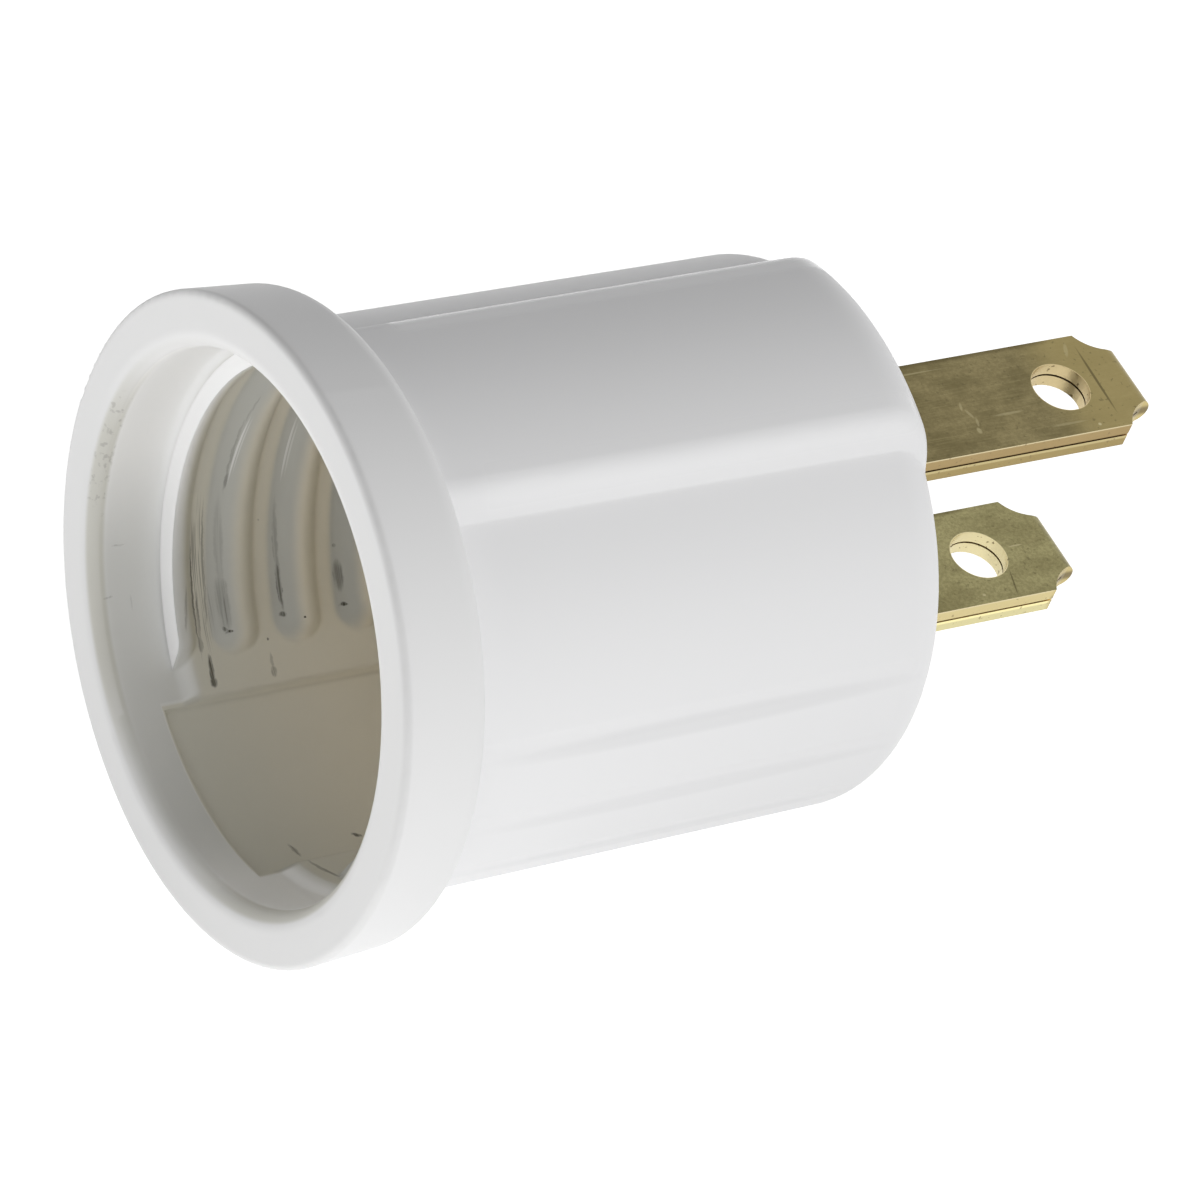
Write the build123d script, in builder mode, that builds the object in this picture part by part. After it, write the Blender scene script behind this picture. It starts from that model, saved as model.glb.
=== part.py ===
"""Lamp socket adapter: a medium screw lamp socket on a two-blade plug.

The lamp axis is X. The plug face is at X = 0, the blades point along +X and the mouth opens towards -X.
The blades lie one above the other along Z. All sizes are in millimetres.
"""
import math
import os

from build123d import *

os.makedirs("parts", exist_ok=True)

# Lengths along the lamp axis
body_length = 33.2
floor_thickness = 4.2
collar_depth = 4.9

# Medium screw lamp thread, interrupted above and below
thread_root_radius = 13.4
thread_depth = 0.9
thread_pitch = 3.629
thread_lean_deg = 2.7
thread_arc_deg = 104.0
thread_first_rib = 4.55
ribs_per_side = 4
rib_crest_round = 1.1
rib_flank_deg = 45.0
rib_sink = 0.5
first_rib_front = 0.2

# Mouth and cavity, measured from the rim
mouth_step = 0.35
mouth_lip_round = 0.95
mouth_land_end = 3.9
lead_in_end = 4.8
cavity_step = 20.2
cavity_step_in = 1.0

# Plain channels between the threaded sides
channel_depth = 0.6
channel_width = 11.0
channel_start = 2.8

# Outside of the moulding
barrel_wall = 0.85
barrel_draft = 0.2
barrel_end_round = 2.6
collar_projection = 2.4
collar_taper = 0.35
collar_front_round = 0.3
collar_back_round = 1.0
collar_root_round = 0.6

# Raised pads above and below the blades
pad_rise = 1.25
pad_end_round = 2.9
pad_width = 10.92
pad_shoulder = 1.0
pad_side_deg = 25.0
pad_edge_round = 1.3
pad_sink = 8.2

# Shallow grip grooves on both sides
groove_spread_deg = 18.4
groove_radius = 3.0
groove_depth = 0.06

# Folded brass blades
blade_spacing = 12.7
blade_width = 6.35
leaf_thickness = 0.70
leaf_gap = 0.12
shell_blade_length = 18.2
centre_blade_length = 18.7
blade_hole_radius = 1.59
blade_hole_at = 13.5
tip_half_width = 1.83
shoulder_from_tip = 2.1
shoulder_length = 1.6
shoulder_mid_length = 0.775
shoulder_mid_half_width = 2.215
slot_clearance = 0.08
slot_mouth_relief = 0.5

# Inner ends of the brass strips
bend_radius = 0.75
foot_reach = 2.0
strip_clearance = 0.08
shell_contact_dip = 0.95
shell_contact_tip_dip = 0.15
shell_contact_tip_at = 19.2
shell_contact_dip_at = 21.6
shell_contact_rise_at = 24.4
tongue_root = 4.0
tongue_rise = 4.6
tongue_overrun = 1.9
tongue_drop = 1.2

# Spare length of a tool past the surface it cuts
overcut = 1.0

# Sizes that follow from the values above
mouth_x = -body_length
floor_x = -floor_thickness
collar_back_x = mouth_x + collar_depth
mouth_radius = thread_root_radius + mouth_step
cavity_rear_radius = thread_root_radius - cavity_step_in
channel_radius = thread_root_radius + channel_depth
barrel_radius_front = thread_root_radius + barrel_wall
barrel_radius_rear = barrel_radius_front - barrel_draft
collar_radius_front = barrel_radius_front + collar_projection
collar_radius_back = collar_radius_front - collar_taper
pad_radius_front = barrel_radius_front + pad_rise
pad_radius_rear = barrel_radius_rear + pad_rise
blade_height = blade_spacing / 2
leaf_pitch = leaf_thickness + leaf_gap
blade_thickness = leaf_pitch + leaf_thickness
shell_fold_x = shell_blade_length - blade_thickness / 2
centre_fold_x = centre_blade_length - blade_thickness / 2
strip_floor_x = floor_x - leaf_thickness / 2
outer_leaf = blade_height + leaf_pitch / 2
inner_leaf = blade_height - leaf_pitch / 2
slot_height = blade_thickness + 2 * slot_clearance
slot_width = blade_width + 2 * slot_clearance
shell_contact_reach = math.sqrt((channel_radius - strip_clearance) ** 2 - blade_width ** 2 / 4)
shell_contact_height = shell_contact_reach - leaf_thickness / 2
groove_lean_deg = math.degrees(math.atan2(barrel_draft, body_length))
groove_length = -collar_back_x - collar_root_round
groove_x = -groove_length / 2
groove_axis_radius = barrel_radius_front - barrel_draft / 2 + groove_radius - groove_depth

# Section of a thread rib: a rounded crest between two straight flanks, sunk into the wall
rib_flank = math.radians(rib_flank_deg)
thread_crest_radius = thread_root_radius - thread_depth
rib_crest_half = rib_crest_round * math.sin(rib_flank)
rib_crest_foot = thread_crest_radius + rib_crest_round * (1 - math.cos(rib_flank))
rib_base_radius = thread_root_radius + rib_sink
rib_base_half = rib_crest_half + (rib_base_radius - rib_crest_foot) / math.tan(rib_flank)

# Section of a raised pad: flat-sided, narrower towards its crown
pad_lean = math.tan(math.radians(pad_side_deg))
pad_shoulder_height = pad_radius_front - pad_shoulder
pad_base_height = pad_shoulder_height - pad_sink
pad_crown_height = pad_radius_front + overcut
pad_base_half = pad_width / 2 + pad_lean * pad_sink
pad_crown_half = pad_width / 2 - pad_lean * (pad_crown_height - pad_shoulder_height)

# One raised pad, drawn above the axis
with BuildPart() as pad:
    with BuildSketch(Plane.XZ) as pad_profile:
        with BuildLine():
            Polyline(
                (collar_back_x - collar_back_round, 0),
                (collar_back_x - collar_back_round, pad_radius_front),
                (0, pad_radius_rear),
                (0, 0),
                close=True,
            )
        make_face()
        fillet(pad_profile.vertices().sort_by_distance((0, pad_radius_rear))[0], pad_end_round)
    revolve(axis=Axis.X)
    with BuildSketch(Plane.YZ):
        Polygon(
            (-pad_base_half, pad_base_height),
            (pad_base_half, pad_base_height),
            (pad_crown_half, pad_crown_height),
            (-pad_crown_half, pad_crown_height),
            align=None,
        )
    extrude(amount=body_length, both=True, mode=Mode.INTERSECT)
    crown_edges = pad.edges().filter_by(lambda edge: edge.center().Z > barrel_radius_rear - pad_end_round)
    fillet(crown_edges.filter_by(lambda edge: edge.bounding_box().size.X > overcut), pad_edge_round)

# One rib of the thread, a short arc with rounded ends that starts on +Y
with BuildSketch(Plane.XY) as rib_section:
    with BuildLine():
        rib_crest = ThreePointArc(
            (-rib_crest_half, rib_crest_foot),
            (0, thread_crest_radius),
            (rib_crest_half, rib_crest_foot),
        )
        Polyline(
            rib_crest @ 1,
            (rib_base_half, rib_base_radius),
            (-rib_base_half, rib_base_radius),
            rib_crest @ 0,
        )
    make_face()
with BuildPart() as rib_end:
    with BuildSketch(Plane.XY):
        add(rib_section.sketch)
        Rectangle(body_length, body_length, align=(Align.MAX, Align.MIN), mode=Mode.SUBTRACT)
    revolve(axis=Axis.Y, revolution_arc=180)
with BuildPart() as rib:
    with BuildSketch(Plane.XY):
        add(rib_section.sketch)
    revolve(axis=Axis.X, revolution_arc=thread_arc_deg)
    add(rib_end.part)
    add(Rot(thread_arc_deg, 0, 0) * mirror(rib_end.part, about=Plane.XY))

# The rib next to the mouth on the +Y side, with a flat front towards the mouth
with BuildPart() as first_rib:
    add(rib.part)
    with Locations((-first_rib_front, 0, 0)):
        Box(
            body_length,
            2 * body_length,
            2 * body_length,
            align=(Align.MAX, Align.CENTER, Align.CENTER),
            mode=Mode.SUBTRACT,
        )

# The moulding: collar, barrel, pads, grooves, cavity, thread and blade slots
with BuildPart() as body:
    with BuildSketch(Plane.XZ) as outside:
        with BuildLine():
            Polyline(
                (mouth_x, 0),
                (mouth_x, collar_radius_front),
                (collar_back_x, collar_radius_back),
                (collar_back_x, barrel_radius_front),
                (0, barrel_radius_rear),
                (0, 0),
                close=True,
            )
        make_face()
        for corner, corner_round in (
            ((mouth_x, collar_radius_front), collar_front_round),
            ((collar_back_x, collar_radius_back), collar_back_round),
            ((collar_back_x, barrel_radius_front), collar_root_round),
            ((0, barrel_radius_rear), barrel_end_round),
        ):
            fillet(outside.vertices().sort_by_distance(corner)[0], corner_round)
    revolve(axis=Axis.X)

    for side_deg in (0, 180):
        for groove_deg in (-groove_spread_deg, 0, groove_spread_deg):
            with Locations(Rot(side_deg + groove_deg, 0, 0)):
                with Locations(Location((groove_x, groove_axis_radius, 0), (0, 0, -groove_lean_deg))):
                    Cylinder(groove_radius, groove_length, rotation=(0, 90, 0), mode=Mode.SUBTRACT)

    add(pad.part)
    add(Rot(180, 0, 0) * pad.part)

    with BuildSketch(Plane.XZ) as hollow:
        with BuildLine():
            Polyline(
                (mouth_x, 0),
                (mouth_x, mouth_radius + mouth_lip_round),
                (mouth_x + mouth_lip_round, mouth_radius + mouth_lip_round),
                (mouth_x + mouth_lip_round, mouth_radius),
                (mouth_x + mouth_land_end, mouth_radius),
                (mouth_x + lead_in_end, thread_root_radius),
                (mouth_x + cavity_step, thread_root_radius),
                (mouth_x + cavity_step, cavity_rear_radius),
                (floor_x, cavity_rear_radius),
                (floor_x, 0),
                close=True,
            )
        make_face()
        with Locations((mouth_x + mouth_lip_round, mouth_radius + mouth_lip_round)):
            Circle(mouth_lip_round, mode=Mode.SUBTRACT)
    revolve(axis=Axis.X, mode=Mode.SUBTRACT)

    with BuildSketch(Plane.YZ.offset(mouth_x + channel_start)):
        Circle(channel_radius)
        Rectangle(channel_width, 2 * channel_radius, mode=Mode.INTERSECT)
    extrude(amount=floor_x - mouth_x - channel_start, mode=Mode.SUBTRACT)

    for side in (0, 1):
        for turn in range(ribs_per_side):
            rib_x = mouth_x + thread_first_rib + (turn + side / 2) * thread_pitch
            turned = Rot(180 * side, 0, 0) * Rot(0, thread_lean_deg, 0) * Rot(-thread_arc_deg / 2, 0, 0)
            shape = first_rib.part if side + turn == 0 else rib.part
            add(Pos(rib_x, 0, 0) * turned * shape)

    with Locations((floor_x / 2, 0, blade_height), (floor_x / 2, 0, -blade_height)):
        Box(floor_thickness, slot_width, slot_height, mode=Mode.SUBTRACT)
    with Locations((floor_x, 0, blade_height), (floor_x, 0, -blade_height)):
        Box(
            slot_mouth_relief,
            slot_width,
            slot_height + 2 * slot_mouth_relief,
            align=(Align.MIN, Align.CENTER, Align.CENTER),
            mode=Mode.SUBTRACT,
        )

# The metal to take away on both sides of a blade's narrowed tip, with the tip's end at X = 0
with BuildPart() as tip_waste:
    with BuildSketch(Plane.XY):
        with BuildLine():
            shoulder = ThreePointArc(
                (-shoulder_from_tip, blade_width / 2),
                (-shoulder_from_tip + shoulder_mid_length, shoulder_mid_half_width),
                (-shoulder_from_tip + shoulder_length, tip_half_width),
            )
            Polyline(
                shoulder @ 1,
                (overcut, tip_half_width),
                (overcut, blade_width),
                (-shoulder_from_tip, blade_width),
                shoulder @ 0,
            )
        make_face()
        mirror(about=Plane.XZ)
    extrude(amount=2 * blade_height, both=True)

# The upper blade with the contact for the lamp's screw shell, one folded strip
with BuildPart() as shell_blade:
    with BuildSketch(Plane.XZ):
        with BuildLine():
            FilletPolyline(
                (mouth_x + shell_contact_tip_at, shell_contact_height - shell_contact_tip_dip),
                (mouth_x + shell_contact_dip_at, shell_contact_height - shell_contact_dip),
                (mouth_x + shell_contact_rise_at, shell_contact_height),
                (strip_floor_x, shell_contact_height),
                (strip_floor_x, outer_leaf),
                (shell_fold_x, outer_leaf),
                radius=bend_radius,
            )
            ThreePointArc(
                (shell_fold_x, outer_leaf),
                (shell_fold_x + leaf_pitch / 2, blade_height),
                (shell_fold_x, inner_leaf),
            )
            FilletPolyline(
                (shell_fold_x, inner_leaf),
                (strip_floor_x, inner_leaf),
                (strip_floor_x, inner_leaf - foot_reach),
                radius=bend_radius,
            )
        trace(line_width=leaf_thickness)
    extrude(amount=blade_width / 2, both=True)
    with Locations((blade_hole_at, 0, blade_height)):
        Cylinder(blade_hole_radius, 2 * blade_thickness, mode=Mode.SUBTRACT)
    add(Pos(shell_blade_length, 0, 0) * tip_waste.part, mode=Mode.SUBTRACT)

# The lower blade with the tongue for the lamp's centre button, one folded strip
with BuildPart() as centre_blade:
    with BuildSketch(Plane.XZ):
        with BuildLine():
            FilletPolyline(
                (strip_floor_x - tongue_rise + tongue_drop, tongue_overrun),
                (strip_floor_x - tongue_rise, 0),
                (strip_floor_x, -tongue_root),
                (strip_floor_x, -inner_leaf),
                (centre_fold_x, -inner_leaf),
                radius=bend_radius,
            )
            ThreePointArc(
                (centre_fold_x, -inner_leaf),
                (centre_fold_x + leaf_pitch / 2, -blade_height),
                (centre_fold_x, -outer_leaf),
            )
            FilletPolyline(
                (centre_fold_x, -outer_leaf),
                (strip_floor_x, -outer_leaf),
                (strip_floor_x, -outer_leaf - foot_reach),
                radius=bend_radius,
            )
        trace(line_width=leaf_thickness)
    extrude(amount=blade_width / 2, both=True)
    with Locations((blade_hole_at, 0, -blade_height)):
        Cylinder(blade_hole_radius, 2 * blade_thickness, mode=Mode.SUBTRACT)
    add(Pos(centre_blade_length, 0, 0) * tip_waste.part, mode=Mode.SUBTRACT)

body.part.label = "body"
shell_blade.part.label = "shell_blade"
centre_blade.part.label = "centre_blade"
export_step(body.part, "parts/body.step")
export_step(shell_blade.part, "parts/shell_blade.step")
export_step(centre_blade.part, "parts/centre_blade.step")
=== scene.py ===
"""Looks of the lamp socket adapter: white moulded plastic, brushed brass blades, studio and camera."""

import bpy
from mathutils import Matrix, Vector

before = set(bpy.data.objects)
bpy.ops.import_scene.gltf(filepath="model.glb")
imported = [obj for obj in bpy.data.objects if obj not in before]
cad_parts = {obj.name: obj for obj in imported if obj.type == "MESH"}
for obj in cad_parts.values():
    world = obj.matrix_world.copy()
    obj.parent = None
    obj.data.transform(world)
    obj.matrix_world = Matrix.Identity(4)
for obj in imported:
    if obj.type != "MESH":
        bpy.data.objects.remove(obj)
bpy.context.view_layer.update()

MM = 0.001

# Camera, measured in the object's own frame
CAMERA_PLACE = Vector((-0.19087, -0.17974, 0.23663))
CAMERA_RIGHT = Vector((0.8415, -0.4555, 0.2905))
CAMERA_FORWARD = Vector((0.5151, 0.5141, -0.6859))
CAMERA_LENS = 209.6
CAMERA_SENSOR = 36.0
CAMERA_CLIP_START = 0.01

# Studio light that falls on a surface: the side it comes from, how narrow it is, strength
KEY_LIGHT = (Vector((0.25, -0.78, 0.57)), 3.0, 1.54)
MOUTH_FILL = (Vector((-1.0, 0.0, 0.0)), 6.0, 0.92)
INNER_WALL_LIGHT = (Vector((-0.75, -0.45, 0.50)), 6.0, 0.28)
PLUG_FILL = (Vector((1.0, 0.0, 0.0)), 3.0, 0.95)
ROOM_LIGHT = 0.01
SURROUND_SEEN = 1.0
WHITE_LIGHT = (1.0, 1.0, 1.0, 1.0)

# Floor: its own glow, more before the mouth and behind the object, and what the camera sees of it
FLOOR_HEIGHT = -16.66 * MM
FLOOR_REACH = 1.5
FLOOR_PAPER = (0.6, 0.6, 0.6, 1.0)
FLOOR_LIGHT = 0.27
FLOOR_LIGHT_AT_MOUTH = 0.75
FLOOR_LIGHT_BEHIND = 0.50
FLOOR_SEEN = 0.85
BEFORE_MOUTH = (20 * MM, 40 * MM)
BEHIND_OBJECT = (30 * MM, 80 * MM)

# Each pair below tells where an effect begins and where it is full

# Places on the plastic, in millimetres from the plug face or from the lamp axis
RIM_X = -33.2
SOCKET_FLOOR_X = (-3.9, -4.1)
BORE_RADIUS = (13.84, 13.80)
CHANNEL_RADIUS = (14.6, 14.4)
CHANNEL_WIDTH = (5.90, 5.60)
COLLAR_RADIUS = (15.5, 16.2)
GROOVED_RADIUS = (13.90, 13.95)
PAD_EDGE_ACROSS = (4.1, 4.6)
PAD_EDGE_RADIUS = (14.55, 14.75)
PAD_EDGE_X = (-26.2, -25.6)

# Places on the plastic, in millimetres from the rim
RIM_FACE = (0.5, 0.2)
LIP_DEPTH = (0.95, 0.70)
LIP_RADIUS = (14.40, 14.15)
CHANNEL_START = (2.64, 2.74)
THREAD_START = (4.0, 5.0)
LAND_END = (5.2, 3.9)
WARM_DEPTH = (2.5, 15.0)

# First rib of the thread, its flat front and the step where a channel begins
FIRST_RIB_FRONT = (3.70, 3.80)
FIRST_RIB_BACK = (5.0, 4.6)
FIRST_RIB_RADIUS = (13.72, 13.62)
FIRST_RIB_CREST = (13.55, 13.35)
STEP_FRONT = (2.0, 2.3)
STEP_BACK = (3.6, 3.3)
STEP_HEIGHT = (10.5, 11.5)

# How far a surface turns to the mouth, as the X of its normal
FLANK_TURN = (0.15, -0.6)
FRONT_TURN = (-0.6, -0.9)

# Angles round the lamp axis, in degrees from the top, where the land's and the lip's painted shade
# lie, and levels of the lip's painted shade there
LAND_SHADE_FAR = (-92.0, -128.0)
LAND_SHADE_NEAR = (150.0, 178.0)
LIP_SHADE_LOW = (172.0, 140.0, 0.15, 0.70)
LIP_SHADE_HIGH = (60.0, 95.0, 0.1, 1.0)
PITS_BEGIN = (-116.0, -108.0)
PITS_END = (-78.0, -86.0)

# Colours of the plastic. Painted light: the lighter deep colour, the land's white, the first rib's
# white and the bright lines on the ribs. Painted shade: the land's lower side, the collar and rim
# whites, the grey on the rib flanks, the lip and the grip grooves
WHITE_MOULDING = (0.868, 0.868, 0.873, 1.0)
WARM_NEAR_MOUTH = (0.705, 0.69, 0.615, 1.0)
WARM_PAINTED_LIGHT_DEEP = (1.0, 0.935, 0.80, 1.0)
FLANK_PAINTED_TONE = (0.55, 0.55, 0.515, 1.0)
LAND_PAINTED_LIGHT = (0.96, 0.96, 0.955, 1.0)
LAND_PAINTED_SHADE = (0.735, 0.74, 0.725, 1.0)
COLLAR_PAINTED_SHADE = (0.83, 0.83, 0.83, 1.0)
RIM_PAINTED_SHADE = (0.79, 0.79, 0.787, 1.0)
FIRST_RIB_PAINTED_LIGHT = (0.99, 0.99, 0.99, 1.0)
LIP_PAINTED_SHADE = (0.56, 0.55, 0.48, 1.0)
DIRT = (0.045, 0.04, 0.028, 1.0)
PAINTED_HIGHLIGHT_WHITE = (0.97, 0.97, 0.96, 1.0)
GROOVE_SHADE_GREY = (0.72, 0.72, 0.725, 1.0)
PIT_GREY = (0.32, 0.31, 0.29, 1.0)
PIT_STRENGTH = 0.40

# Gloss of the plastic, and of the pads' rubbed edges
PLASTIC_ROUGHNESS, RUBBED_ROUGHNESS = 0.42, 0.08
PLASTIC_IOR, RUBBED_IOR = 1.20, 1.35

# Softened edges: radius and samples
SOFT_EDGE = 0.35 * MM
CRISP_EDGE = 0.03 * MM
EDGE_SAMPLES = 6
# Rounding that finds the rib flanks for their painted tone: radius and samples
FLANK_TONE_EDGE = 0.5 * MM
FLANK_TONE_SAMPLES = 8

# Dirt in the socket: from the rim, angle, half length in degrees, half width, lean, strength
DIRT_STREAKS = (
    (5.49, -134.0, 15.0, 0.07, 0.004, 0.75),
    (5.65, -139.0, 7.5, 0.10, 0.015, 0.65),
    (5.52, -144.3, 2.2, 0.17, 0.010, 0.70),
    (6.24, -124.0, 14.0, 0.07, 0.0, 0.45),
    (6.15, -136.5, 5.0, 0.09, 0.018, 0.40),
    (4.65, -135.6, 6.0, 0.14, 0.044, 0.35),
    (5.79, -150.3, 4.2, 0.17, 0.020, 0.90),
    (5.75, -152.9, 1.3, 0.25, 0.0, 0.85),
    (6.90, -123.0, 13.0, 0.22, 0.0, 0.20),
    (6.88, -136.5, 8.0, 0.34, 0.0, 0.38),
    (6.92, -138.0, 5.0, 0.10, 0.010, 0.55),
    (6.80, -142.0, 0.9, 0.12, -0.05, 0.90),
    (6.96, -142.8, 0.5, 0.20, 0.0, 1.00),
    (7.23, -100.0, 12.5, 0.06, 0.016, 0.30),
    (7.13, -107.5, 2.6, 0.09, 0.016, 0.45),
    (7.50, -87.0, 6.5, 0.05, 0.022, 0.25),
    (10.30, -126.0, 13.0, 0.12, 0.0, 0.30),
    (10.28, -134.8, 6.5, 0.12, 0.0, 0.70),
    (10.24, -141.3, 0.7, 0.20, 0.0, 0.75),
    (13.81, -135.0, 4.2, 0.24, 0.0, 0.60),
    (13.83, -141.6, 0.55, 0.22, 0.0, 0.95),
    (13.78, -128.3, 0.5, 0.10, 0.0, 0.50),
    (9.25, -150.8, 2.2, 0.10, 0.010, 0.35),
    (9.22, -153.0, 1.5, 0.20, 0.0, 0.50),
    (9.33, -145.9, 0.4, 0.08, 0.0, 0.75),
    (11.18, -142.8, 0.4, 0.09, 0.0, 1.00),
    (9.48, -119.8, 0.4, 0.08, 0.0, 0.45),
    (1.64, -120.3, 0.3, 0.45, 0.0, 0.22),
    (0.95, -131.1, 0.3, 0.30, 0.0, 0.22),
    (2.20, -133.0, 2.0, 0.06, 0.0, 0.15),
    (5.58, 149.5, 7.0, 0.15, -0.025, 0.60),
    (5.86, 163.8, 2.8, 0.15, -0.020, 0.60),
    (9.55, 164.5, 1.1, 0.22, -0.160, 0.85),
)

# Part of the first groove that lamp caps have scored with fine lines
SCORED_GROOVE = ((5.90, -129.0, 20.0, 0.75, 0.0, 0.45),)

# Painted highlights: bright lines on the flanks of the second and third ribs
PAINTED_HIGHLIGHT_LINES = (
    (7.38, -98.5, 11.0, 0.05, 0.019, 0.55),
    (7.51, -97.0, 9.5, 0.04, 0.019, 0.30),
    (10.61, -102.0, 10.0, 0.05, 0.013, 0.50),
    (10.72, -102.0, 8.5, 0.04, 0.013, 0.30),
)

# Painted shade in the grip grooves: along the barrel, angle, half width in degrees, half length, lean,
# strength
GROOVE_PAINTED_SHADE = (
    (-14.0, 74.4, 2.8, 14.0, 0.0, 0.36),
    (-14.0, 92.8, 2.8, 14.0, 0.0, 0.26),
    (-14.0, 111.2, 2.8, 14.0, 0.0, 0.24),
)

# Places on the folded brass strips, in millimetres from the plug face or the plug's middle
BLADE_HEIGHT = 6.35
UPPER_BLADE = (-0.5, 0.5)
HOLE_X = 13.5
HOLE_WALL = (1.64, 1.60)
WORN_TIP = (11.5, 15.0, 0.0, 0.65)
FAR_EDGE_ACROSS = (2.85, 3.10, 0.0, 0.5)
FAR_EDGE_X = (15.0, 13.5)
FOLD_END_X = (16.3, 16.7)
FOLD_X = (16.5, 17.2)

# Heights in the folded strip, in millimetres from the seam between its leaves
UPPER_LEAF = (-0.05, 0.10)
# Painted highlights: along the upper leaf's top corner and along the top of the lower leaf
TOP_CORNER_HIGHLIGHT = (0.64, 0.71)
LOWER_HIGHLIGHT_BELOW = (-0.30, -0.18)
LOWER_HIGHLIGHT_ABOVE = (0.0, -0.06)
LOWER_CORNER = (-0.55, -0.72, 0.0, 0.5)
SEAM_SHADE = (0.16, 0.06, 0.0, 0.6)
SEAM_HALF_HEIGHT = (0.12, 0.09)
FOLD_END_MIDDLE = (0.45, 0.10, 0.0, 0.85)

# How far a surface of the strip turns up, to its side and to its tip
LOOKS_UP = (0.5, 0.9)
LOOKS_ASIDE = (0.45, 0.75)
LOOKS_FORWARD = (0.35, 0.85, 0.0, 0.7)

# Colours of the brass, the lower blade's first where both blades have one
DARK_FACE = (0.25, 0.225, 0.104, 1.0), (0.160, 0.132, 0.059, 1.0)
LIGHT_FACE = (0.365, 0.333, 0.162, 1.0), (0.255, 0.212, 0.102, 1.0)
UPPER_LEAF_EDGE = (0.62, 0.52, 0.255, 1.0), (0.37, 0.265, 0.112, 1.0)
LOWER_LEAF_EDGE = (0.66, 0.60, 0.32, 1.0), (0.48, 0.385, 0.145, 1.0)
SEAM_SIDES = (0.95, 0.78, 0.42, 1.0), (0.55, 0.36, 0.14, 1.0)
HOLE_SIDES = (0.72, 0.64, 0.38, 1.0), (0.60, 0.49, 0.27, 1.0)
BRUSHED_BRASS = (0.34, 0.29, 0.145, 1.0)
GRAIN_BRASS = (0.115, 0.093, 0.040, 1.0)
WORN_BRASS = (0.36, 0.29, 0.12, 1.0)
FACE_SPECK = (0.09, 0.075, 0.035, 1.0)
FAR_EDGE_BRASS = (0.085, 0.066, 0.026, 1.0)
CREASE_BRASS = (0.06, 0.048, 0.02, 1.0)
SCUFF_BRASS = (0.52, 0.46, 0.27, 1.0)
# Colours of the painted highlights on the upper leaf's top corner and the lower leaf's top
TOP_CORNER_HIGHLIGHT_BRASS = (0.72, 0.63, 0.40, 1.0)
LOWER_HIGHLIGHT_BRASS = (0.94, 0.84, 0.43, 1.0)
LOWER_CORNER_BRASS = (0.40, 0.33, 0.15, 1.0)
SEAM_SHADE_BRASS = (0.26, 0.18, 0.07, 1.0)
EDGE_SPECK = (0.20, 0.14, 0.06, 1.0)
HOLE_SPECK = (0.12, 0.08, 0.03, 1.0)
FOLD_END_BRASS = (0.55, 0.45, 0.20, 1.0)
FOLD_END_DARK = (0.17, 0.13, 0.06, 1.0)
FOLD_BRASS = (0.46, 0.38, 0.17, 1.0)

# Strengths of the painted highlight on the upper leaf's top corner and of specks on the brass
TOP_CORNER_HIGHLIGHT_STRENGTH = 0.8
FACE_SPECK_STRENGTH = 0.4
EDGE_SPECK_STRENGTH = 0.6
HOLE_SPECK_STRENGTH = 0.8

# Marks on the blades' upper faces: along, across, half length across, half width, lean, strength
UPPER_CREASE = ((15.77, 0.05, 2.65, 0.10, 0.035, 0.65),)
LOWER_CREASE = ((14.44, -2.15, 1.0, 0.06, 0.27, 0.60),)
UPPER_SCUFFS = (
    (7.20, -0.10, 0.34, 0.10, 0.30, 0.30),
    (7.42, -0.65, 0.38, 0.11, -0.30, 0.30),
    (7.55, -1.25, 0.36, 0.10, 0.25, 0.30),
    (7.35, -1.80, 0.26, 0.16, 0.00, 0.38),
    (9.60, -1.05, 0.10, 1.10, 0.00, 0.30),
    (4.20, 2.55, 0.07, 4.20, 0.00, 0.30),
    (14.27, -2.79, 0.12, 0.12, 0.00, 0.80),
    (15.20, 2.30, 0.55, 0.16, 0.40, 0.25),
    (12.60, -2.40, 0.10, 1.30, 0.00, 0.25),
)
LOWER_SCUFFS = (
    (15.90, 0.15, 0.06, 0.55, 0.00, 0.55),
    (12.30, -2.60, 0.10, 0.12, 0.00, 0.70),
)


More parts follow.
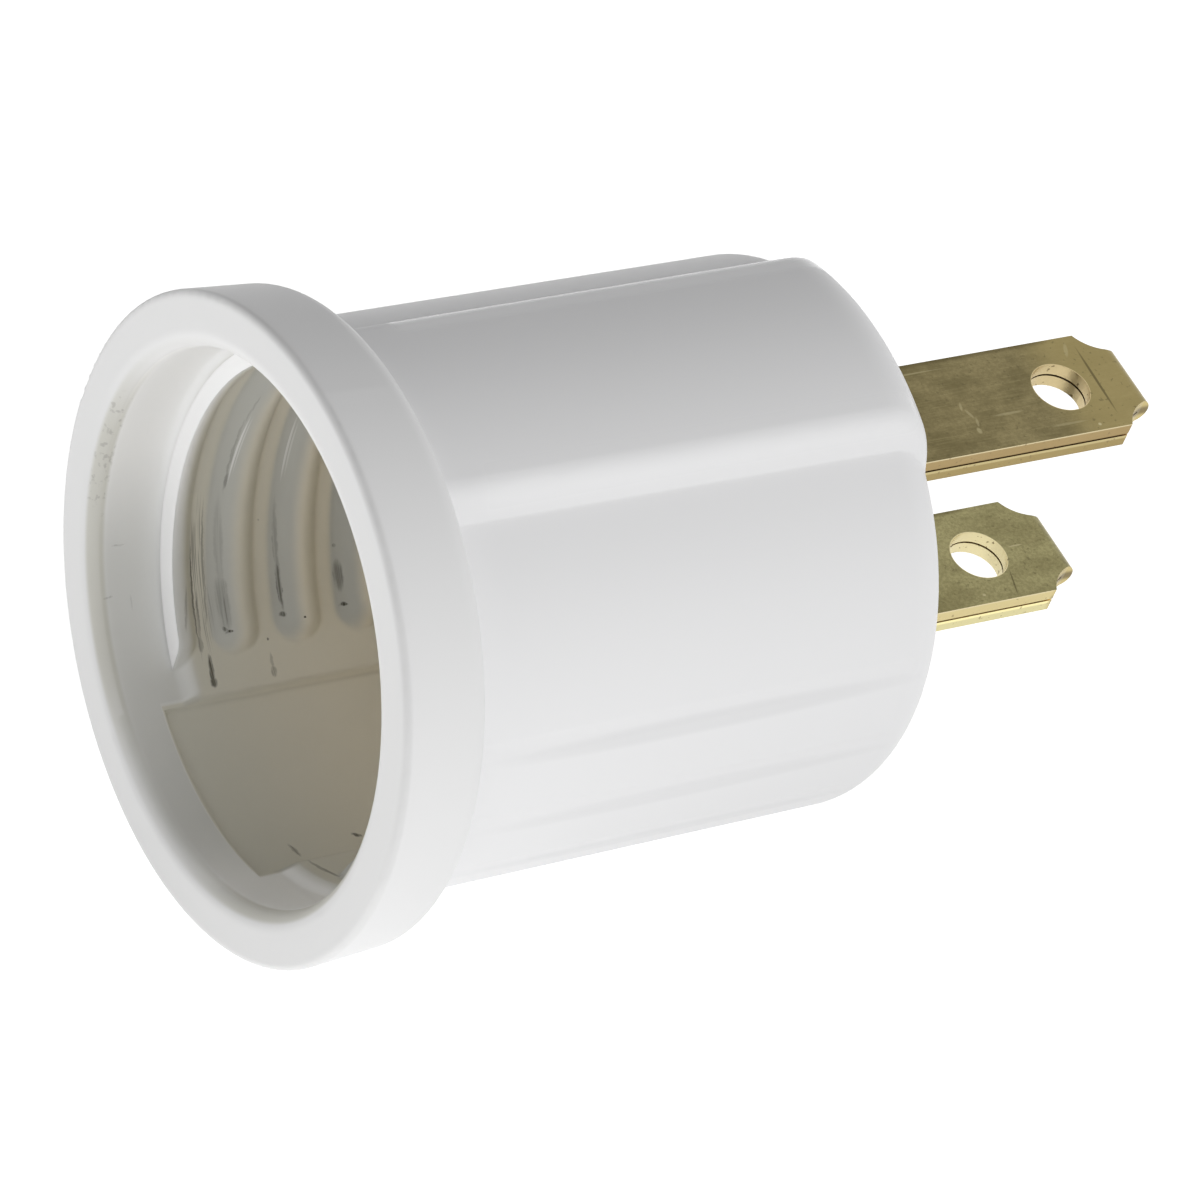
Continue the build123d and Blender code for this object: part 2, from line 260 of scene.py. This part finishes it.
class Nodes:
    """Adds nodes to one material or world tree and links what is passed in."""

    def __init__(self, tree):
        self.tree = tree
        self.tree.nodes.clear()

    def add(self, kind, links=None, **settings):
        node = self.tree.nodes.new(kind)
        for name, value in settings.items():
            setattr(node, name, value)
        for key, value in (links or {}).items():
            socket = node.inputs[key]
            if isinstance(value, bpy.types.NodeSocket):
                self.tree.links.new(value, socket)
            else:
                socket.default_value = value
        return node

    def math(self, operation, a, b=0.0, c=0.0, clamp=False):
        links = {0: a, 1: b, 2: c}
        return self.add("ShaderNodeMath", links, operation=operation, use_clamp=clamp).outputs[0]

    def product(self, first, *others):
        for other in others:
            first = self.math("MULTIPLY", first, other)
        return first

    def size(self, value):
        return self.math("ABSOLUTE", value)

    def ramp(self, value, begin, full, at_begin=0.0, at_full=1.0):
        links = {
            "Value": value,
            "From Min": begin,
            "From Max": full,
            "To Min": at_begin,
            "To Max": at_full,
        }
        return self.add("ShaderNodeMapRange", links, interpolation_type="SMOOTHSTEP").outputs[0]

    def blend(self, factor, a, b):
        return self.add("ShaderNodeMix", {0: factor, 6: a, 7: b}, data_type="RGBA").outputs[2]

    def vector_math(self, operation, vector, other, output):
        links = {0: vector, 1: other}
        return self.add("ShaderNodeVectorMath", links, operation=operation).outputs[output]

    def dot(self, vector, axis):
        return self.vector_math("DOT_PRODUCT", vector, axis, "Value")

    def stretch(self, vector, scale):
        return self.vector_math("MULTIPLY", vector, scale, "Vector")

    def split(self, vector):
        return self.add("ShaderNodeSeparateXYZ", {0: vector}).outputs

    def join(self, a, b):
        return self.add("ShaderNodeCombineXYZ", {0: a, 1: b}).outputs[0]

    def distance(self, a, b):
        links = {0: self.join(a, b)}
        return self.add("ShaderNodeVectorMath", links, operation="LENGTH").outputs["Value"]

    def coordinate(self, name):
        return self.add("ShaderNodeTexCoord").outputs[name]

    def place_mm(self):
        links = {0: self.coordinate("Object"), "Scale": 1.0 / MM}
        return self.add("ShaderNodeVectorMath", links, operation="SCALE").outputs[0]

    def noise(self, vector, scale, detail, roughness=0.5):
        links = {"Vector": vector, "Scale": scale, "Detail": detail, "Roughness": roughness}
        return self.add("ShaderNodeTexNoise", links).outputs["Fac"]

    def streaks(self, along, angle, marks):
        """Strongest of several soft-edged marks, each an ellipse that may lean."""
        total = None
        for centre, turn, reach, half_width, lean, strength in marks:
            offset = (lean * turn - centre) / half_width
            u = self.math("MULTIPLY_ADD", angle, 1.0 / reach, -turn / reach)
            shift = self.math("MULTIPLY_ADD", angle, -lean / half_width, offset)
            v = self.math("MULTIPLY_ADD", along, 1.0 / half_width, shift)
            spread = self.math("MULTIPLY_ADD", u, u, self.math("MULTIPLY", v, v))
            mark = self.ramp(spread, 1.0, 0.15, 0.0, strength)
            total = mark if total is None else self.math("MAXIMUM", total, mark)
        return total

    def shown_or_lit(self, shown, lit):
        """One strength for what camera, mirrors and glass see, another for light on a surface."""
        path = self.add("ShaderNodeLightPath").outputs
        seen = self.math("MAXIMUM", path["Is Camera Ray"], path["Is Glossy Ray"])
        seen = self.math("MAXIMUM", seen, path["Is Transmission Ray"])
        unseen = self.math("SUBTRACT", 1.0, seen)
        return self.math("MULTIPLY_ADD", lit, unseen, self.math("MULTIPLY", seen, shown))


def new_material(name):
    material = bpy.data.materials.new(name)
    material.use_nodes = True
    return material, Nodes(material.node_tree)


def make_white_plastic():
    """White moulding, warmer inside the socket, with dirt in the thread, pits in the lip, and painted
    light and shade inside the socket, on the rim, collar and grip grooves.
    """
    material, n = new_material("white_plastic_moulded")
    place = n.place_mm()
    x, y, z = n.split(place)
    radius = n.distance(y, z)
    angle = n.math("DEGREES", n.math("ARCTAN2", n.math("MULTIPLY", y, -1.0), z))
    turn = n.size(angle)
    from_rim = n.math("SUBTRACT", x, RIM_X)

    # Inside of the socket: the bore, and the channels behind the raised pads
    in_bore = n.ramp(radius, *BORE_RADIUS)
    in_channel = n.product(n.ramp(radius, *CHANNEL_RADIUS), n.ramp(n.size(y), *CHANNEL_WIDTH))
    channel_begun = n.product(in_channel, n.ramp(from_rim, *CHANNEL_START))
    inside = n.product(n.math("MAXIMUM", in_bore, in_channel), n.ramp(x, *SOCKET_FLOOR_X))
    deep = n.product(inside, n.math("MAXIMUM", n.ramp(from_rim, *THREAD_START), channel_begun))
    on_lip = n.product(n.ramp(radius, *LIP_RADIUS), n.ramp(from_rim, *LIP_DEPTH))

    # Colour inside turns warmer deeper in the socket, and lighter there as painted light
    warm_painted_light = n.blend(n.ramp(from_rim, *WARM_DEPTH), WARM_NEAR_MOUTH, WARM_PAINTED_LIGHT_DEEP)
    colour = n.blend(deep, WHITE_MOULDING, warm_painted_light)

    # Painted tone on the flanks that face the mouth: a darker neutral grey for how the mouth's light
    # falls on them
    rounded = n.add("ShaderNodeBevel", {"Radius": FLANK_TONE_EDGE}, samples=FLANK_TONE_SAMPLES)
    painted_flank = n.product(deep, n.ramp(n.split(rounded.outputs[0])[0], *FLANK_TURN))
    colour = n.blend(painted_flank, colour, FLANK_PAINTED_TONE)

    # Smooth land behind the lip, painted lighter, with painted shade on its lower side
    before_channel = n.math("SUBTRACT", inside, channel_begun, clamp=True)
    land = n.product(before_channel, n.ramp(from_rim, *LAND_END))
    low_side = n.math("MAXIMUM", n.ramp(angle, *LAND_SHADE_FAR), n.ramp(angle, *LAND_SHADE_NEAR))
    colour = n.blend(land, colour, LAND_PAINTED_LIGHT)
    colour = n.blend(n.product(land, low_side), colour, LAND_PAINTED_SHADE)

    # Collar and rim painted a little darker as shade, and the first rib's front painted bright white
    # as light from the mouth
    colour = n.blend(n.ramp(radius, *COLLAR_RADIUS), colour, COLLAR_PAINTED_SHADE)
    colour = n.blend(n.ramp(from_rim, *RIM_FACE), colour, RIM_PAINTED_SHADE)
    painted_bright_front = n.product(
        n.ramp(from_rim, *FIRST_RIB_BACK),
        n.ramp(from_rim, *FIRST_RIB_FRONT),
        n.ramp(radius, *FIRST_RIB_RADIUS),
        n.ramp(n.split(n.coordinate("Normal"))[0], *FRONT_TURN),
    )
    colour = n.blend(painted_bright_front, colour, FIRST_RIB_PAINTED_LIGHT)

    # Painted shade on the lip's rounding, less at the top and the bottom
    lip_shade = n.product(on_lip, n.ramp(turn, *LIP_SHADE_LOW), n.ramp(turn, *LIP_SHADE_HIGH))
    colour = n.blend(lip_shade, colour, LIP_PAINTED_SHADE)

    # Streaks left by lamp caps, broken up along the thread
    along_thread = n.join(n.math("MULTIPLY", x, 14.0), n.math("MULTIPLY", angle, 0.06))
    lines = n.noise(along_thread, 1.0, 2.0, 0.6)
    ragged = n.math("MULTIPLY_ADD", n.noise(place, 2.2, 3.0, 0.6), 0.20, -0.10)
    ragged_rim = n.math("ADD", from_rim, ragged)
    ragged_angle = n.math("MULTIPLY_ADD", ragged, 5.0, angle)
    dirt = n.streaks(ragged_rim, ragged_angle, DIRT_STREAKS)
    dirt = n.product(dirt, n.ramp(lines, 0.35, 0.60, 0.45, 1.0))
    scored = n.product(n.streaks(from_rim, angle, SCORED_GROOVE), n.ramp(lines, 0.50, 0.64))
    dirt = n.product(n.math("MAXIMUM", dirt, scored), inside)
    colour = n.blend(dirt, colour, DIRT)
    # Painted highlights along the flanks of the second and third ribs
    painted_highlights = n.product(n.streaks(from_rim, angle, PAINTED_HIGHLIGHT_LINES), inside)
    colour = n.blend(painted_highlights, colour, PAINTED_HIGHLIGHT_WHITE)

    # Painted shade along the lower edge of each grip groove
    groove_shade = n.product(n.streaks(x, turn, GROOVE_PAINTED_SHADE), n.ramp(radius, *GROOVED_RADIUS))
    colour = n.blend(groove_shade, colour, GROOVE_SHADE_GREY)

    # Pits along one side of the lip
    pitted = n.product(on_lip, n.ramp(angle, *PITS_BEGIN), n.ramp(angle, *PITS_END))
    pits = n.product(n.ramp(n.noise(place, 2.6, 2.0), 0.57, 0.68), pitted, PIT_STRENGTH)
    colour = n.blend(pits, colour, PIT_GREY)

    # Edges are softened, but not the low step where a channel begins or the first rib's front
    at_step = n.product(
        n.ramp(from_rim, *STEP_FRONT),
        n.ramp(from_rim, *STEP_BACK),
        inside,
        n.ramp(n.size(z), *STEP_HEIGHT),
    )
    at_front = n.product(painted_bright_front, n.ramp(radius, *FIRST_RIB_CREST))
    crisp = n.math("MAXIMUM", at_step, at_front)
    softness = n.ramp(crisp, 0.0, 1.0, SOFT_EDGE, CRISP_EDGE)
    soft_edges = n.add("ShaderNodeBevel", {"Radius": softness}, samples=EDGE_SAMPLES)
    waves = {
        "Strength": 0.2,
        "Distance": 0.15 * MM,
        "Height": n.noise(place, 0.12, 1.0),
        "Normal": soft_edges.outputs[0],
    }
    bump = n.add("ShaderNodeBump", waves)

    # Rounded long edges of the raised pads, rubbed glossy
    pad_edge = n.product(
        n.ramp(n.size(y), *PAD_EDGE_ACROSS),
        n.ramp(radius, *PAD_EDGE_RADIUS),
        n.ramp(x, *PAD_EDGE_X),
    )
    surface = {
        "Base Color": colour,
        "Roughness": n.ramp(pad_edge, 0.0, 1.0, PLASTIC_ROUGHNESS, RUBBED_ROUGHNESS),
        "IOR": n.ramp(pad_edge, 0.0, 1.0, PLASTIC_IOR, RUBBED_IOR),
        "Normal": bump.outputs[0],
    }
    shader = n.add("ShaderNodeBsdfPrincipled", surface)
    n.add("ShaderNodeOutputMaterial", {"Surface": shader.outputs[0]})
    return material


def make_brass():
    """Tarnished brass strip, brushed along its length, with tan sheared edges, painted highlights
    along their corners and painted shade by the seam.
    """
    material, n = new_material("brass_strip_brushed")
    place = n.place_mm()
    x, y, z = n.split(place)
    forward, aside, up = n.split(n.coordinate("Normal"))
    upper = n.ramp(z, *UPPER_BLADE)
    height = n.math("SUBTRACT", z, n.math("MULTIPLY", n.math("SIGN", z), BLADE_HEIGHT))
    from_seam = n.size(height)

    # Faces: stained, brushed and grainy, lighter towards the upper blade's tip, dark at the far edge
    brushed = n.noise(n.stretch(place, (0.5, 12.0, 12.0)), 1.0, 4.0, 0.6)
    stain = n.noise(n.stretch(place, (0.35, 0.55, 0.55)), 1.0, 4.0, 0.6)
    grain = n.noise(place, 5.0, 3.0, 0.7)
    specks = n.ramp(n.noise(place, 3.5, 2.0), 0.63, 0.72)
    dark_face = n.blend(upper, *DARK_FACE)
    light_face = n.blend(upper, *LIGHT_FACE)
    face = n.blend(n.ramp(stain, 0.34, 0.66), dark_face, light_face)
    face = n.blend(n.ramp(brushed, 0.45, 0.75, 0.0, 0.32), face, BRUSHED_BRASS)
    face = n.blend(n.ramp(grain, 0.36, 0.64, 0.0, 0.34), face, GRAIN_BRASS)
    face = n.blend(n.product(upper, n.ramp(x, *WORN_TIP)), face, WORN_BRASS)
    face = n.blend(n.product(specks, FACE_SPECK_STRENGTH), face, FACE_SPECK)
    far_edge = n.product(n.ramp(y, *FAR_EDGE_ACROSS), n.ramp(x, *FAR_EDGE_X))
    face = n.blend(far_edge, face, FAR_EDGE_BRASS)

    # Scored crease near each tip and scuffs, on the faces that look up
    looks_up = n.ramp(up, *LOOKS_UP)
    upper_face = n.product(looks_up, upper)
    lower_face = n.math("SUBTRACT", looks_up, upper_face)
    for upper_marks, lower_marks, mark_colour in (
        (UPPER_CREASE, LOWER_CREASE, CREASE_BRASS),
        (UPPER_SCUFFS, LOWER_SCUFFS, SCUFF_BRASS),
    ):
        marks = n.product(n.streaks(x, y, upper_marks), upper_face)
        marks = n.math("MULTIPLY_ADD", n.streaks(x, y, lower_marks), lower_face, marks)
        face = n.blend(marks, face, mark_colour)

    # Sheared edges: a painted highlight along the upper leaf's top corner, a lighter lower leaf with a
    # painted highlight along its top, painted shade by the seam, brown specks
    upper_leaf = n.blend(upper, *UPPER_LEAF_EDGE)
    lower_leaf = n.blend(upper, *LOWER_LEAF_EDGE)
    edge = n.blend(n.ramp(height, *UPPER_LEAF), lower_leaf, upper_leaf)
    edge = n.blend(n.product(n.ramp(height, *TOP_CORNER_HIGHLIGHT), TOP_CORNER_HIGHLIGHT_STRENGTH), edge, TOP_CORNER_HIGHLIGHT_BRASS)
    lower_highlight = n.product(n.ramp(height, *LOWER_HIGHLIGHT_BELOW), n.ramp(height, *LOWER_HIGHLIGHT_ABOVE))
    edge = n.blend(lower_highlight, edge, LOWER_HIGHLIGHT_BRASS)
    edge = n.blend(n.product(n.ramp(height, *LOWER_CORNER), upper), edge, LOWER_CORNER_BRASS)
    edge = n.blend(n.product(n.ramp(height, *SEAM_SHADE), upper), edge, SEAM_SHADE_BRASS)
    edge = n.blend(n.product(specks, EDGE_SPECK_STRENGTH), edge, EDGE_SPECK)
    sheared = n.ramp(n.size(aside), *LOOKS_ASIDE)
    colour = n.blend(sheared, face, edge)

    # Facing sides of the leaves in the seam, never tarnished
    in_seam = n.product(n.ramp(from_seam, *SEAM_HALF_HEIGHT), n.ramp(sheared, 0.5, 0.0))
    colour = n.blend(in_seam, colour, n.blend(upper, *SEAM_SIDES))

    # Walls of the hole, pale with dark pits
    in_hole = n.ramp(n.distance(n.math("SUBTRACT", x, HOLE_X), y), *HOLE_WALL)
    wall = n.blend(upper, *HOLE_SIDES)
    wall = n.blend(n.product(specks, HOLE_SPECK_STRENGTH), wall, HOLE_SPECK)
    colour = n.blend(in_hole, colour, wall)

    # Ends of the fold, dark in the middle
    fold_end = n.product(sheared, n.ramp(x, *FOLD_END_X))
    end = n.blend(n.ramp(from_seam, *FOLD_END_MIDDLE), FOLD_END_BRASS, FOLD_END_DARK)
    colour = n.blend(fold_end, colour, end)

    # Rounded fold at the tip, rubbed bright
    fold = n.product(n.ramp(forward, *LOOKS_FORWARD), n.ramp(x, *FOLD_X))
    colour = n.blend(fold, colour, FOLD_BRASS)

    bump = n.add("ShaderNodeBump", {"Strength": 0.25, "Distance": 0.03 * MM, "Height": brushed})
    surface = {
        "Base Color": colour,
        "Metallic": 1.0,
        "Roughness": n.ramp(stain, 0.2, 0.8, 0.30, 0.42),
        "Normal": bump.outputs[0],
    }
    shader = n.add("ShaderNodeBsdfPrincipled", surface)
    n.add("ShaderNodeOutputMaterial", {"Surface": shader.outputs[0]})
    return material


def make_surround():
    """White studio that shows white and lights the object softly."""
    world = bpy.data.worlds.new("white_studio")
    bpy.context.scene.world = world
    world.use_nodes = True
    n = Nodes(world.node_tree)
    direction = n.coordinate("Object")
    light = ROOM_LIGHT
    for comes_from, focus, strength in (KEY_LIGHT, MOUTH_FILL, INNER_WALL_LIGHT, PLUG_FILL):
        towards = n.math("MAXIMUM", n.dot(direction, comes_from.normalized()), 0.0)
        light = n.math("MULTIPLY_ADD", n.math("POWER", towards, focus), strength, light)
    shine = {"Color": WHITE_LIGHT, "Strength": n.shown_or_lit(SURROUND_SEEN, light)}
    glow = n.add("ShaderNodeBackground", shine)
    n.add("ShaderNodeOutputWorld", {"Surface": glow.outputs[0]})


def make_floor():
    """White floor under the collar, with the object's faint shadow on it."""
    corners = [
        (side_x * FLOOR_REACH, side_y * FLOOR_REACH, FLOOR_HEIGHT)
        for side_x, side_y in ((-1, -1), (1, -1), (1, 1), (-1, 1))
    ]
    mesh = bpy.data.meshes.new("studio_floor")
    mesh.from_pydata(corners, [], [(0, 1, 2, 3)])
    floor = bpy.data.objects.new("studio_floor", mesh)
    bpy.context.scene.collection.objects.link(floor)
    material, n = new_material("floor_white")
    paper = n.add("ShaderNodeBsdfDiffuse", {"Color": FLOOR_PAPER})
    place = n.coordinate("Object")
    at_mouth = n.ramp(n.dot(place, (-1.0, 0.0, 0.0)), *BEFORE_MOUTH, 0.0, FLOOR_LIGHT_AT_MOUTH)
    glow_behind = FLOOR_LIGHT + FLOOR_LIGHT_BEHIND
    behind = n.ramp(n.dot(place, (0.0, 1.0, 0.0)), *BEHIND_OBJECT, FLOOR_LIGHT, glow_behind)
    strength = n.shown_or_lit(FLOOR_SEEN, n.math("ADD", at_mouth, behind))
    glow = n.add("ShaderNodeEmission", {"Color": WHITE_LIGHT, "Strength": strength})
    both = n.add("ShaderNodeAddShader", {0: paper.outputs[0], 1: glow.outputs[0]})
    n.add("ShaderNodeOutputMaterial", {"Surface": both.outputs[0]})
    mesh.materials.append(material)


def make_camera():
    data = bpy.data.cameras.new("camera")
    data.lens = CAMERA_LENS
    data.sensor_width = CAMERA_SENSOR
    data.clip_start = CAMERA_CLIP_START
    camera = bpy.data.objects.new("camera", data)
    forward = CAMERA_FORWARD.normalized()
    right = (CAMERA_RIGHT - CAMERA_RIGHT.dot(forward) * forward).normalized()
    up = right.cross(forward)
    turn = Matrix((right, up, -forward)).transposed().to_4x4()
    camera.matrix_world = Matrix.Translation(CAMERA_PLACE) @ turn
    bpy.context.scene.collection.objects.link(camera)
    bpy.context.scene.camera = camera


def dress(node, material):
    """Gives every slot of a CAD node the finished material."""
    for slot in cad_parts[node].material_slots:
        slot.material = material


brass = make_brass()
dress("body", make_white_plastic())
dress("shell_blade", brass)
dress("centre_blade", brass)

make_surround()
make_floor()
make_camera()
bpy.context.scene.view_settings.view_transform = "Standard"
